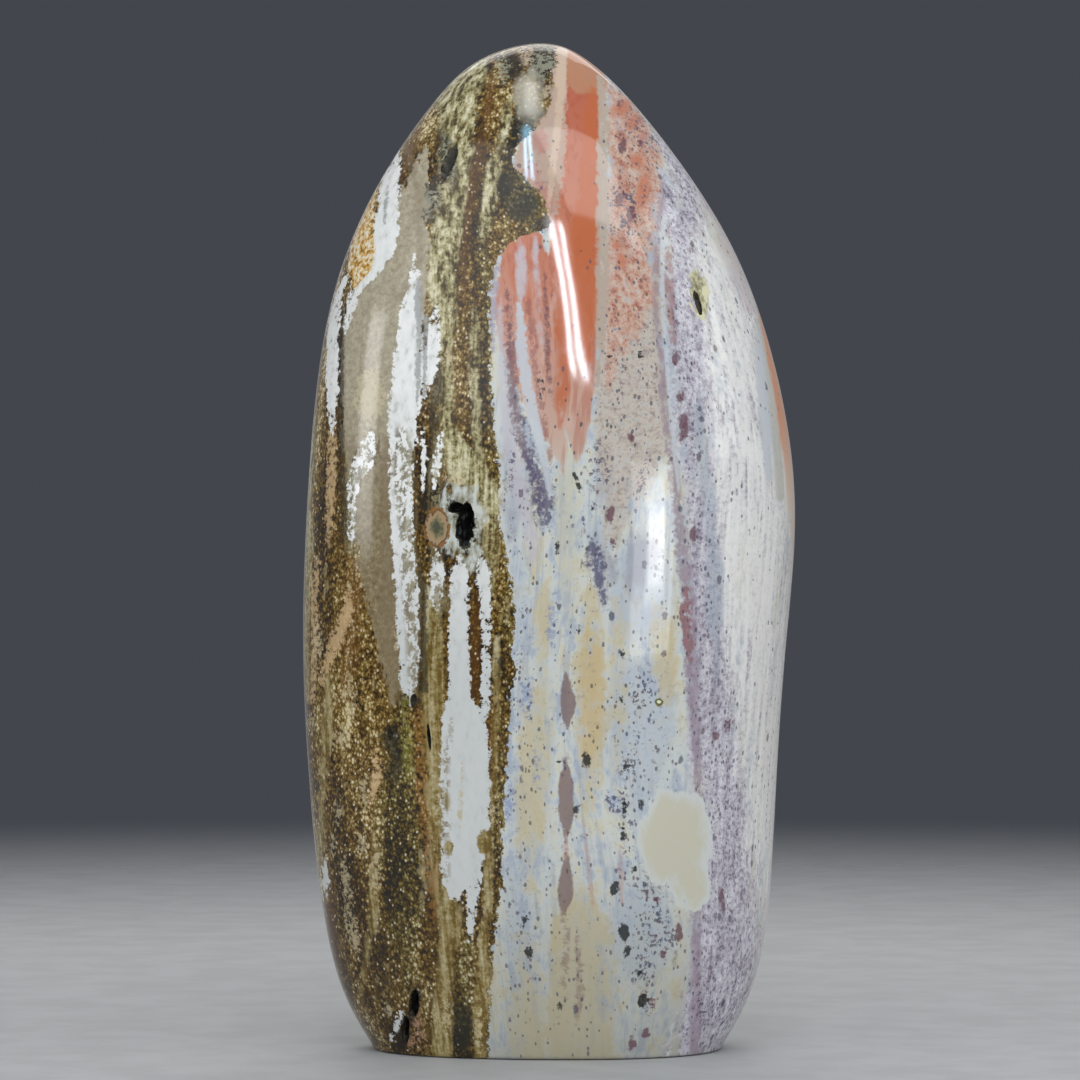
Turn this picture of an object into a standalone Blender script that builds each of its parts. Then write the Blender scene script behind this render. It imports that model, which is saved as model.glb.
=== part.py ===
"""A polished freeform of ocean jasper that stands upright on a small flat base.

The stone is one piece. A round pebble is shaped to the outline of the stone, soft flats
are ground off its back, the foot is sawn flat, and the open pits in its face are cut in.
Metres, +Z up. The origin is on the foot, under the middle of the stone's bounding box.
"""

import math

import bmesh
import bpy
import numpy as np
from mathutils import Matrix, Vector
from mathutils.bvhtree import BVHTree

# Driving dimensions
HEIGHT = 0.2008
WIDTH = 0.0986
DEPTH = 0.0666

# The outline, from the tip down to the part of the pebble that the saw takes away.
# Each row holds the height as a share of HEIGHT, the reach to the left and to the right
# as shares of WIDTH, the reach to the front and to the back as shares of DEPTH, and how
# far the crest of the front lies to the right, as a share of the half width.
STATIONS = (
    (1.000, -0.018, -0.018, 0.000, 0.000, 0.00),
    (0.9832, -0.141, 0.076, 0.126, 0.126, 0.00),
    (0.943, -0.230, 0.165, 0.213, 0.222, 0.02),
    (0.884, -0.316, 0.261, 0.293, 0.310, 0.05),
    (0.804, -0.400, 0.364, 0.363, 0.390, 0.09),
    (0.697, -0.460, 0.448, 0.430, 0.458, 0.14),
    (0.548, -0.490, 0.498, 0.487, 0.498, 0.19),
    (0.388, -0.499, 0.478, 0.500, 0.500, 0.21),
    (0.226, -0.481, 0.457, 0.472, 0.472, 0.19),
    (0.112, -0.450, 0.438, 0.424, 0.424, 0.15),
    (0.046, -0.409, 0.401, 0.394, 0.386, 0.12),
    (0.000, -0.354, 0.347, 0.373, 0.354, 0.10),
    (-0.030, -0.262, 0.254, 0.270, 0.255, 0.10),
    (-0.042, 0.000, 0.000, 0.000, 0.000, 0.10),
)

# How much squarer the sections are than ellipses, which have 2
SQUARENESS = 2.2

# Soft flats that grinding left on the far side: the azimuth and the tilt of the flat's
# normal in degrees, its distance from AXIS_POINT in metres, and how softly it blends in.
AXIS_POINT = Vector((0.0, 0.0, 0.095))
FLATS = (
    (60.0, 4.0, 0.0372, 0.0018),
    (130.0, -3.0, 0.0366, 0.0022),
    (98.0, 26.0, 0.0545, 0.0030),
)

# Resolution of the solid
SEGMENTS = 60
RINGS = 54

# The sawn foot's rim
RIM_BEVEL = 0.0007
RIM_SEGMENTS = 2

# Pits in the front face: where the middle of the mouth lies across and up, then half the
# mouth's width, half its height and the depth, all in metres, and the lean in degrees.
PITS = {
    "vug": (-0.0165, 0.1043, 0.0015, 0.0042, 0.0046, -3.0),
    "vug_lobe": (-0.0184, 0.1077, 0.0013, 0.0009, 0.0032, 15.0),
    "vug_brow": (-0.0161, 0.1072, 0.0011, 0.0015, 0.0036, 0.0),
    "upper_pocket": (-0.0197, 0.1757, 0.0014, 0.0040, 0.0010, -12.0),
    "right_pocket": (0.0291, 0.1478, 0.0007, 0.0027, 0.0010, 8.0),
    "dark_pit": (-0.0264, 0.0703, 0.0007, 0.0012, 0.0010, -15.0),
    "left_pit": (-0.0310, 0.0635, 0.0006, 0.0011, 0.0009, 5.0),
    "slit": (-0.0234, 0.0632, 0.0004, 0.0027, 0.0013, 5.0),
    "fissure": (-0.0265, 0.0104, 0.0011, 0.0030, 0.0030, -14.0),
    "fissure_foot": (-0.0282, 0.0051, 0.0009, 0.0032, 0.0026, -12.0),
}
PIT_ROUGHNESS = 0.10
PIT_SUBDIVISIONS = 2

STONE_COLOUR = (0.62, 0.55, 0.46, 1.0)
STONE_ROUGHNESS = 0.12


def clear_scene():
    for obj in list(bpy.data.objects):
        bpy.data.objects.remove(obj, do_unlink=True)


def collection(name):
    made = bpy.data.collections.new(name)
    bpy.context.scene.collection.children.link(made)
    return made


def smooth_curve(values, flat_start):
    """A curve with continuous curvature through values at 0, 1, 2 and so on.

    It starts level if flat_start is set, and starts and ends unbent otherwise.
    """
    values = np.asarray(values, float)
    count = len(values)
    matrix = np.eye(count)
    wanted = np.zeros(count)
    for i in range(1, count - 1):
        matrix[i, i - 1 : i + 2] = (1, 4, 1)
        wanted[i] = 6 * (values[i - 1] - 2 * values[i] + values[i + 1])
    if flat_start:
        matrix[0, :2] = (2, 1)
        wanted[0] = 6 * (values[1] - values[0])
    bend = np.linalg.solve(matrix, wanted)

    def at(place):
        i = min(int(place), count - 2)
        b = place - i
        a = 1 - b
        curved = (a**3 - a) * bend[i] + (b**3 - b) * bend[i + 1]
        return a * values[i] + b * values[i + 1] + curved / 6

    return at


def outline_curves():
    """Height, centre, half width, front, back and crest as curves along the stations."""
    table = np.array(STATIONS) * (HEIGHT, WIDTH, WIDTH, DEPTH, DEPTH, 1.0)
    height, left, right, front, back, crest = table.T
    return (
        smooth_curve(height, True),
        smooth_curve((left + right) / 2, True),
        smooth_curve((right - left) / 2, False),
        smooth_curve(front, False),
        smooth_curve(back, False),
        smooth_curve(crest, True),
    )


def section_point(curves, place, turn):
    """The pebble's surface at a place along the stations and a turn about the axis."""
    height, centre, half, front, back, crest = (curve(place) for curve in curves)
    c, s = math.cos(turn), math.sin(turn)
    reach = (abs(c) ** SQUARENESS + abs(s) ** SQUARENESS) ** (-1 / SQUARENESS)
    across = centre + half * (reach * c + crest * max(0.0, -s) ** 3)
    depth = (front if s < 0 else back) * reach * s
    return Vector((across, depth, height))


def grind(point):
    """Takes the soft flats off a point of the pebble."""
    for azimuth, tilt, distance, softness in FLATS:
        a, t = math.radians(azimuth), math.radians(tilt)
        normal = Vector(
            (math.cos(a) * math.cos(t), math.sin(a) * math.cos(t), math.sin(t))
        )
        over = (point - AXIS_POINT).dot(normal) - distance
        point = point - normal * softness * math.log1p(math.exp(over / softness))
    return point


def pebble():
    """A sphere whose rings are moved to the stone's sections."""
    curves = outline_curves()
    last = len(STATIONS) - 1
    bm = bmesh.new()
    bmesh.ops.create_uvsphere(bm, u_segments=SEGMENTS, v_segments=RINGS, radius=1.0)
    for vertex in bm.verts:
        from_top = math.acos(max(-1.0, min(1.0, vertex.co.z)))
        turn = math.atan2(vertex.co.y, vertex.co.x)
        place = last * from_top / math.pi
        vertex.co = grind(section_point(curves, place, turn))
    return bm


def saw_foot(bm):
    """Cuts the pebble off flat at the origin's height and closes the cut."""
    everything = bm.verts[:] + bm.edges[:] + bm.faces[:]
    cut = bmesh.ops.bisect_plane(
        bm,
        geom=everything,
        plane_co=(0, 0, 0),
        plane_no=(0, 0, -1),
        clear_outer=True,
    )
    rim = [item for item in cut["geom_cut"] if isinstance(item, bmesh.types.BMEdge)]
    bmesh.ops.contextual_create(bm, geom=rim)
    bmesh.ops.recalc_face_normals(bm, faces=bm.faces[:])


def soften_rim(obj):
    """Rounds the edge between the foot and the sides, before the pits are cut."""
    bm = bmesh.new()
    bm.from_mesh(obj.data)
    rim = [
        edge
        for edge in bm.edges
        if all(abs(v.co.z) < 1e-6 for v in edge.verts)
        and edge.calc_face_angle(0.0) > math.radians(20)
    ]
    bmesh.ops.bevel(
        bm,
        geom=rim,
        offset=RIM_BEVEL,
        segments=RIM_SEGMENTS,
        profile=0.5,
        affect="EDGES",
    )
    bm.to_mesh(obj.data)
    bm.free()


def stone_material():
    material = bpy.data.materials.new("polished_jasper")
    material.use_nodes = True
    shader = material.node_tree.nodes["Principled BSDF"]
    shader.inputs["Base Color"].default_value = STONE_COLOUR
    shader.inputs["Roughness"].default_value = STONE_ROUGHNESS
    return material


def pit_cutter(name, pit, front, helpers):
    """A rough egg whose middle lies on the front face, as deep as the pit."""
    across, up, half_width, half_height, depth, lean = pit
    hit, normal, _, _ = front.ray_cast(Vector((across, -1.0, up)), Vector((0, 1, 0)))
    bm = bmesh.new()
    bmesh.ops.create_icosphere(bm, subdivisions=PIT_SUBDIVISIONS, radius=1.0)
    for i, vertex in enumerate(sorted(bm.verts, key=lambda v: tuple(v.co))):
        vertex.co *= 1 + PIT_ROUGHNESS * math.sin(2.4 * i + 7 * across / half_width)
    mesh = bpy.data.meshes.new(name)
    bm.to_mesh(mesh)
    bm.free()
    cutter = bpy.data.objects.new(name, mesh)
    sizes = Matrix.Diagonal((half_width, half_height, depth, 1.0))
    roll = Matrix.Rotation(math.radians(lean), 4, "Z")
    facing = (-normal).to_track_quat("-Z", "Y").to_matrix().to_4x4()
    mesh.transform(Matrix.Translation(hit) @ facing @ roll @ sizes)
    cutter.hide_render = True
    cutter.display_type = "WIRE"
    helpers.objects.link(cutter)
    return cutter


def cut_pits(stone, helpers):
    bm = bmesh.new()
    bm.from_mesh(stone.data)
    front = BVHTree.FromBMesh(bm)
    bm.free()
    for name, pit in PITS.items():
        cutter = pit_cutter(name, pit, front, helpers)
        cut = stone.modifiers.new(name, "BOOLEAN")
        cut.operation = "DIFFERENCE"
        cut.solver = "EXACT"
        cut.object = cutter


def make_stone(parts, helpers):
    bm = pebble()
    saw_foot(bm)
    mesh = bpy.data.meshes.new("stone")
    bm.to_mesh(mesh)
    bm.free()
    stone = bpy.data.objects.new("stone", mesh)
    parts.objects.link(stone)
    soften_rim(stone)
    mesh.shade_smooth()
    mesh.set_sharp_from_angle(angle=math.radians(35))
    mesh.materials.append(stone_material())
    cut_pits(stone, helpers)


def main():
    clear_scene()
    parts = collection("ocean_jasper")
    helpers = collection("cutters")
    make_stone(parts, helpers)


main()
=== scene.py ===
"""The looks of a polished ocean jasper freeform.

One detailed mesh replaces the plain solid. It has the same form, finer pits and a
procedural material whose rock types follow named outlines.
"""

import math

import bmesh
import bpy
import numpy as np
from mathutils import Matrix, Vector, noise
from mathutils.bvhtree import BVHTree


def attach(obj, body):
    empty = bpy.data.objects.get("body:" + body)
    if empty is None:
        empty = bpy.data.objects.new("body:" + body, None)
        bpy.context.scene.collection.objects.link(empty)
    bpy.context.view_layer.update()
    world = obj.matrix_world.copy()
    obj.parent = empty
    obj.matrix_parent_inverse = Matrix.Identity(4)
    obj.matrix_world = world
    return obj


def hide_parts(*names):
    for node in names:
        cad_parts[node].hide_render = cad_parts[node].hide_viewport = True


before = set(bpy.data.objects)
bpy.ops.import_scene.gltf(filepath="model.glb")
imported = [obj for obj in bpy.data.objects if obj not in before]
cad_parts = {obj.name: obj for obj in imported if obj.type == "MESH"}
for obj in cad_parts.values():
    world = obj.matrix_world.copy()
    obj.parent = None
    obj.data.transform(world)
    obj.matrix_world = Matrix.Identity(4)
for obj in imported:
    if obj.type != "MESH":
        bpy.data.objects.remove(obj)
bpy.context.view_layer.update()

# The form of the stone, in metres, as its solid has it. The rows of STATIONS run from the
# tip down and hold the height as a share of HEIGHT, the reach to the left and right as
# shares of WIDTH, the reach to the front and back as shares of DEPTH, and how far the
# crest of the front lies to the right, as a share of the half width.
HEIGHT = 0.2008
WIDTH = 0.0986
DEPTH = 0.0666
STATIONS = (
    (1.000, -0.018, -0.018, 0.000, 0.000, 0.00),
    (0.9832, -0.141, 0.076, 0.126, 0.126, 0.00),
    (0.943, -0.230, 0.165, 0.213, 0.222, 0.02),
    (0.884, -0.316, 0.261, 0.293, 0.310, 0.05),
    (0.804, -0.400, 0.364, 0.363, 0.390, 0.09),
    (0.697, -0.460, 0.448, 0.430, 0.458, 0.14),
    (0.548, -0.490, 0.498, 0.487, 0.498, 0.19),
    (0.388, -0.499, 0.478, 0.500, 0.500, 0.21),
    (0.226, -0.481, 0.457, 0.472, 0.472, 0.19),
    (0.112, -0.450, 0.438, 0.424, 0.424, 0.15),
    (0.046, -0.409, 0.401, 0.394, 0.386, 0.12),
    (0.000, -0.354, 0.347, 0.373, 0.354, 0.10),
    (-0.030, -0.262, 0.254, 0.270, 0.255, 0.10),
    (-0.042, 0.000, 0.000, 0.000, 0.000, 0.10),
)

# A ring would be an ellipse with a SQUARENESS of 2. A higher CREST_POWER would move less of
# the front along with its crest.
SQUARENESS = 2.2
CREST_POWER = 3

# Flats ground off the far side: the azimuth and tilt in degrees, the distance from
# AXIS_POINT and the softness of the edge, in metres
AXIS_POINT = np.array((0.0, 0.0, 0.095))
FLATS = (
    (60.0, 4.0, 0.0372, 0.0018),
    (130.0, -3.0, 0.0366, 0.0022),
    (98.0, 26.0, 0.0545, 0.0030),
)

# The mesh: rings down the body, columns round the front and the back, rings in the foot,
# steps by which the profile's length is measured, and the degrees that make an edge sharp
BODY_RINGS = 202
FRONT_COLUMNS = 300
BACK_COLUMNS = 100
FOOT_RINGS = 20
PROFILE_STEPS = 6000
SHARP_ANGLE = 38

# The rounded rim of the foot: heights above it and how far in from the side, in metres
RIM = ((0.0008, 0.0), (0.0004, 0.0001), (0.00012, 0.0004), (0.0, 0.0009))

# Polishing leaves the surface this uneven, in metres, with waves about this long and
# lower ones that are FINER_WAVES times as close
WAVE_DEPTH = 0.00010
WAVE_LENGTH = 0.022
FINER_WAVES = 2.3

# Pits in the front: across and up, half the mouth's width and height and the depth, in
# metres, the lean in degrees, and how rough the walls are
PITS = {
    "vug": (-0.0164, 0.1043, 0.0019, 0.0043, 0.0046, -3.0, 0.30),
    "vug_lobe": (-0.0182, 0.1077, 0.0016, 0.0010, 0.0032, 15.0, 0.20),
    "vug_brow": (-0.0161, 0.1072, 0.0011, 0.0015, 0.0036, 0.0, 0.25),
    "upper_pocket": (-0.0197, 0.1757, 0.0014, 0.0040, 0.0009, -12.0, 0.30),
    "right_pocket": (0.0291, 0.1478, 0.0007, 0.0027, 0.0009, 8.0, 0.25),
    "dark_pit": (-0.0264, 0.0703, 0.0007, 0.0012, 0.0010, -15.0, 0.20),
    "left_pit": (-0.0310, 0.0635, 0.0006, 0.0011, 0.0009, 5.0, 0.20),
    "slit": (-0.0234, 0.0632, 0.0004, 0.0027, 0.0013, 5.0, 0.15),
    "fissure": (-0.0265, 0.0104, 0.0011, 0.0030, 0.0030, -14.0, 0.30),
    "fissure_foot": (-0.0282, 0.0051, 0.0009, 0.0032, 0.0026, -12.0, 0.30),
}

# A pit starts as a ball split this many times. Its walls have about LUMPS lumps to a metre
# and smaller ones that are FINER_LUMPS times as close.
PIT_SUBDIVISIONS = 4
LUMPS = 900
FINER_LUMPS = 2.7

# The camera stands level, a metre off, and its view is FRAME pixels wide
CAMERA_PLACE = Vector((-0.0018, -1.0, 0.1014))
FRAME = 1080
FOCAL_PIXELS = 5000
SENSOR = 36.0

# Lamps are soft panels that face LIGHT_AIM: the azimuth and elevation in degrees, the
# distance, width and height in metres, the radiance and the colour
LIGHT_AIM = Vector((0.0, -0.03, 0.12))
WHITE = (1.0, 1.0, 1.0)
BLUISH = (0.38, 0.76, 1.0)
PALE_BLUE = (0.90, 0.92, 1.0)
LAMPS = {
    "softbox": (18.3, 3.9, 1.6, 0.50, 0.54, 3.0, WHITE),
    "softbox_inner": (18.5, 5.0, 1.59, 0.24, 0.37, 3.2, WHITE),
    "softbox_core": (18.7, 4.2, 1.58, 0.19, 0.24, 4.6, WHITE),
    "softbox_left": (-71.0, 11.5, 1.5, 0.30, 0.42, 4.4, WHITE),
    "key": (22.0, 46.0, 1.5, 0.75, 0.50, 2.6, WHITE),
    "fill": (-34.0, 30.0, 1.9, 1.7, 1.2, 0.95, WHITE),
    "side": (68.0, 28.0, 1.7, 0.9, 0.9, 1.6, WHITE),
    "top": (-5.0, 63.0, 1.5, 0.12, 0.26, 5.0, WHITE),
    "back": (180.0, 46.0, 1.8, 1.5, 1.0, 1.4, WHITE),
    "tube_low_a": (-1.1, 26.4, 1.4, 0.020, 0.34, 32.0, PALE_BLUE),
    "tube_low_b": (0.7, 26.4, 1.4, 0.020, 0.34, 32.0, PALE_BLUE),
    "tube_high_a": (-8.1, 47.0, 1.4, 0.026, 0.36, 22.0, BLUISH),
    "tube_high_b": (-5.3, 47.0, 1.4, 0.026, 0.36, 22.0, BLUISH),
}

# The studio around the stone gets lighter from straight below to straight above. The
# backdrop, which only the camera sees, is an even grey.
AROUND = (0.0, 0.58)
AROUND_COLOUR = (0.98, 0.99, 1.0)
BACKDROP = (0.056, 0.062, 0.073)

# The floor is a disc just under the stone. Its middle shows in full, up to the second
# distance of FLOOR_FADE, and from the first one outwards it is gone. FLOOR_GRAIN is its
# noise: scale, detail and roughness.
FLOOR_RADIUS = 0.9
FLOOR_SIDES = 96
FLOOR_DROP = 0.0001
FLOOR_FADE = (0.85, 0.2)
FLOOR_ROUGHNESS = 0.6
FLOOR_GRAIN = (60, 4, 0.6)

# Rock types are laid out in the photograph's pixels. One pixel is PIXEL metres in the
# plane through the stone's axis, where the middle of the foot is at FOOT_PIXEL.
PIXEL = 0.0002
FOOT_PIXEL = (549.0, 1047.0)

# Layers of rock run back into the stone. They lean to the left behind the face and wander,
# in full from WANDER_DEPTH pixels behind it. Each wave of that has a size, the pixels to a
# radian down the rows and behind the face, and a start. Points up to SKIN metres behind the
# first thing that the camera sees count as the face.
LAYER_LEAN = 0.22
LAYER_WANDER = 16.0
WANDER_DEPTH = 150
LAYER_WAVES = ((1.0, 97, math.inf, 1.3), (0.6, 41, 60, 0.0), (1.0, math.inf, 80, 4.0))
SKIN = 0.00005

# A streak's corners are rounded over ROUNDING pixels. It runs on by STREAK_END pixels past
# its first and last rows. ALL_ROWS reaches beyond the stone at both ends.
ROUNDING = 15
ALL_ROWS = (-60, 1160)
STREAK_END = 2

# Patches run PATCH_DEPTH pixels into the stone, and deeper down they shrink by PATCH_TAPER
# pixels for each pixel
PATCH_DEPTH = 60
PATCH_TAPER = 0.3

# Far outside, fields are held at these values: a streak's in pixels, a patch's before it is
# scaled to pixels, and the distance from the middle of the eye or the ring as a share of
# its size. SPECK_FALL is how fast specks thin out from the middle of a patch.
FAR_STREAK = -40
FAR_PATCH = -30
FAR_SHARE = 9
SPECK_FALL = 1.2

# Soft clouds over the stone: how far the noise is shifted, its scale and how much of a
# height counts. CLOUD_NOISE holds how the noise weakens from octave to octave, how much
# finer each is than the one before and how many there are.
CLOUDS = {
    "middling": (0.0, 230, 0.3),
    "broad": (0.5, 170, 0.16),
    "long": (0.9, 300, 0.06),
}
CLOUD_NOISE = (0.9, 2.0, 4)
CLOUD_CONTRAST = 0.17

# Finer noises are read at places that sway sideways in two waves: by how much, the metres
# of height to a radian, and those of depth for SWAY and of width for FINE_SWAY. To the back
# they sway SWAY_BACK times as much.
SWAY = (0.0016, 0.021, 0.02)
FINE_SWAY = (0.0005, 0.0083, 0.015)
SWAY_BACK = 0.7


def spline(values, level_start):
    """A curve with continuous curvature through values at 0, 1, 2 and so on."""
    values = np.asarray(values, float)
    count = len(values)
    matrix = np.eye(count)
    wanted = np.zeros(count)
    for i in range(1, count - 1):
        matrix[i, i - 1 : i + 2] = (1, 4, 1)
        wanted[i] = 6 * (values[i - 1] - 2 * values[i] + values[i + 1])
    if level_start:
        matrix[0, :2] = (2, 1)
        wanted[0] = 6 * (values[1] - values[0])
    bend = np.linalg.solve(matrix, wanted)

    def at(place):
        i = np.minimum(np.asarray(place).astype(int), count - 2)
        b = place - i
        a = 1 - b
        curved = (a**3 - a) * bend[i] + (b**3 - b) * bend[i + 1]
        return a * values[i] + b * values[i + 1] + curved / 6

    return at


TABLE = (np.array(STATIONS) * (HEIGHT, WIDTH, WIDTH, DEPTH, DEPTH, 1.0)).T
height_at = spline(TABLE[0], True)
centre_at = spline((TABLE[1] + TABLE[2]) / 2, True)
half_at = spline((TABLE[2] - TABLE[1]) / 2, False)
front_at = spline(TABLE[3], False)
back_at = spline(TABLE[4], False)
crest_at = spline(TABLE[5], True)


def surface(place, turn):
    """Points of the stone at places along the stations and turns about the axis."""
    c, s = np.cos(turn), np.sin(turn)
    reach = (np.abs(c) ** SQUARENESS + np.abs(s) ** SQUARENESS) ** (-1 / SQUARENESS)
    lean = crest_at(place) * np.maximum(0, -s) ** CREST_POWER
    across = centre_at(place) + half_at(place) * (reach * c + lean)
    depth = np.where(s < 0, front_at(place), back_at(place)) * reach * s
    points = np.stack([across, depth, height_at(place) + 0 * turn], -1)
    for azimuth, tilt, distance, softness in FLATS:
        a, t = math.radians(azimuth), math.radians(tilt)
        normal = np.array(
            (math.cos(a) * math.cos(t), math.sin(a) * math.cos(t), math.sin(t))
        )
        over = (points - AXIS_POINT) @ normal - distance
        ground = softness * np.log1p(np.exp(over / softness))
        points = points - normal * ground[..., None]
    return points


def ring_places():
    """Places along the stations for body rings at even steps along the profile."""
    fine = np.linspace(0, len(STATIONS) - 1, PROFILE_STEPS)
    heights = height_at(fine)
    foot = fine[np.argmax(heights < RIM[0][0])]
    fine = np.linspace(0, foot, PROFILE_STEPS)
    sizes = (half_at(fine) + front_at(fine)) / 2
    steps = np.hypot(np.diff(height_at(fine)), np.diff(sizes))
    length = np.concatenate([[0], np.cumsum(steps)])
    return np.interp(np.linspace(0, length[-1], BODY_RINGS + 1)[1:], length, fine)


def column_turns():
    """Turns about the axis, closer together round the front."""
    front = -math.pi + math.pi * np.arange(FRONT_COLUMNS) / FRONT_COLUMNS
    back = math.pi * np.arange(BACK_COLUMNS) / BACK_COLUMNS
    return np.concatenate([front, back])


def rings():
    """All rings of vertices from the tip to the middle of the foot."""
    turns = column_turns()
    body = surface(ring_places()[:, None], turns[None, :])
    last = body[-1]
    middle = (last.min(0) + last.max(0)) / 2
    out = last[:, :2] - middle[:2]
    out /= np.linalg.norm(out, axis=1)[:, None]
    low = []
    for height, inset in RIM[1:]:
        ring = last.copy()
        ring[:, :2] -= out * inset
        ring[:, 2] = height
        low.append(ring)
    for i in range(1, FOOT_RINGS):
        ring = low[len(RIM) - 2].copy()
        ring[:, :2] += (middle[:2] - ring[:, :2]) * i / FOOT_RINGS
        low.append(ring)
    return np.concatenate([body, low]), middle


def plain_stone():
    """The stone's mesh before the pits."""
    grid, middle = rings()
    count, columns = grid.shape[:2]
    tip = surface(np.zeros(1), np.zeros(1))[0]
    points = np.concatenate([[tip], grid.reshape(-1, 3), [(middle[0], middle[1], 0)]])
    ring = np.arange(columns)
    after = np.roll(ring, -1)
    faces = [(0, 1 + a, 1 + b) for a, b in zip(ring.tolist(), after.tolist())]
    for i in range(count - 1):
        top, below = 1 + i * columns, 1 + (i + 1) * columns
        quads = np.stack([top + ring, below + ring, below + after, top + after], 1)
        faces += [tuple(quad) for quad in quads.tolist()]
    foot, last = len(points) - 1, 1 + (count - 1) * columns
    faces += [(foot, last + b, last + a) for a, b in zip(ring.tolist(), after.tolist())]
    mesh = bpy.data.meshes.new("stone_surface")
    mesh.from_pydata(points.tolist(), [], faces)
    mesh.update()
    return mesh


def make_uneven(mesh):
    """Presses shallow waves into the polished surface, but not into the foot."""
    normals = [vertex.normal.copy() for vertex in mesh.vertices]
    places = [vertex.co.copy() for vertex in mesh.vertices]
    moved = []
    for place, normal in zip(places, normals):
        spot = place / WAVE_LENGTH
        dip = 0.5 + 0.5 * noise.noise(spot) + 0.25 * noise.noise(spot * FINER_WAVES)
        moved.extend(place - normal * WAVE_DEPTH * dip * (place.z > RIM[0][0]))
    mesh.vertices.foreach_set("co", moved)
    mesh.update()


def pit_cutter(name, pit, front):
    """A rough egg on the front face whose walls are lined with small crystals."""
    across, up, half_width, half_height, depth, lean, roughness = pit
    hit, normal, _, _ = front.ray_cast(Vector((across, -1.0, up)), Vector((0, 1, 0)))
    bm = bmesh.new()
    bmesh.ops.create_icosphere(bm, subdivisions=PIT_SUBDIVISIONS, radius=1.0)
    sizes = Matrix.Diagonal((half_width, half_height, depth, 1.0))
    for vertex in bm.verts:
        spot = (sizes @ vertex.co + hit) * LUMPS
        lumps = noise.noise(spot) + 0.5 * noise.noise(spot * FINER_LUMPS)
        vertex.co *= 1 + roughness * lumps
    mesh = bpy.data.meshes.new(name)
    bm.to_mesh(mesh)
    bm.free()
    roll = Matrix.Rotation(math.radians(lean), 4, "Z")
    facing = (-normal).to_track_quat("-Z", "Y").to_matrix().to_4x4()
    mesh.transform(Matrix.Translation(hit) @ facing @ roll @ sizes)
    cutter = bpy.data.objects.new(name, mesh)
    bpy.context.scene.collection.objects.link(cutter)
    return cutter


def make_stone():
    """The finished mesh, and a tree of its faces as they were before the pits."""
    mesh = plain_stone()
    make_uneven(mesh)
    stone = bpy.data.objects.new("stone_surface", mesh)
    bpy.context.scene.collection.objects.link(stone)
    bm = bmesh.new()
    bm.from_mesh(mesh)
    skin = BVHTree.FromBMesh(bm)
    bm.free()
    cutters = []
    for name, pit in PITS.items():
        cutters.append(pit_cutter(name, pit, skin))
        cut = stone.modifiers.new(name, "BOOLEAN")
        cut.operation = "DIFFERENCE"
        cut.solver = "MANIFOLD"
        cut.object = cutters[-1]
    depsgraph = bpy.context.evaluated_depsgraph_get()
    cut_mesh = bpy.data.meshes.new_from_object(stone.evaluated_get(depsgraph))
    stone.modifiers.clear()
    stone.data = cut_mesh
    for cutter in cutters:
        bpy.data.objects.remove(cutter, do_unlink=True)
    cut_mesh.shade_smooth()
    cut_mesh.set_sharp_from_angle(angle=math.radians(SHARP_ANGLE))
    return stone, skin


# Where the rock types lie. The brown rock's edge is pixel rows and the edge's column in
# them. A streak is the name of its rock, and then pixel rows with the streak's middle there
# and half its width. A patch is its middle, its half width and height, and its lean in
# degrees if it leans.
BROWN_EDGE = (
    (30, 558), (60, 556), (80, 552), (92, 555), (107, 549), (118, 543), (128, 538), (138, 526), (148, 515),
    (165, 512), (173, 521), (182, 529), (190, 537), (202, 544), (214, 549), (226, 551), (231, 540),
    (237, 520), (247, 505), (262, 496), (280, 492), (310, 490), (360, 490), (400, 492), (440, 495),
    (470, 500), (490, 497), (520, 500), (550, 506), (590, 512), (620, 514), (650, 511), (668, 516),
    (690, 511), (720, 510), (760, 508), (800, 504), (850, 501), (880, 503), (910, 497), (952, 493),
    (1000, 490), (1060, 488),
)

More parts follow.
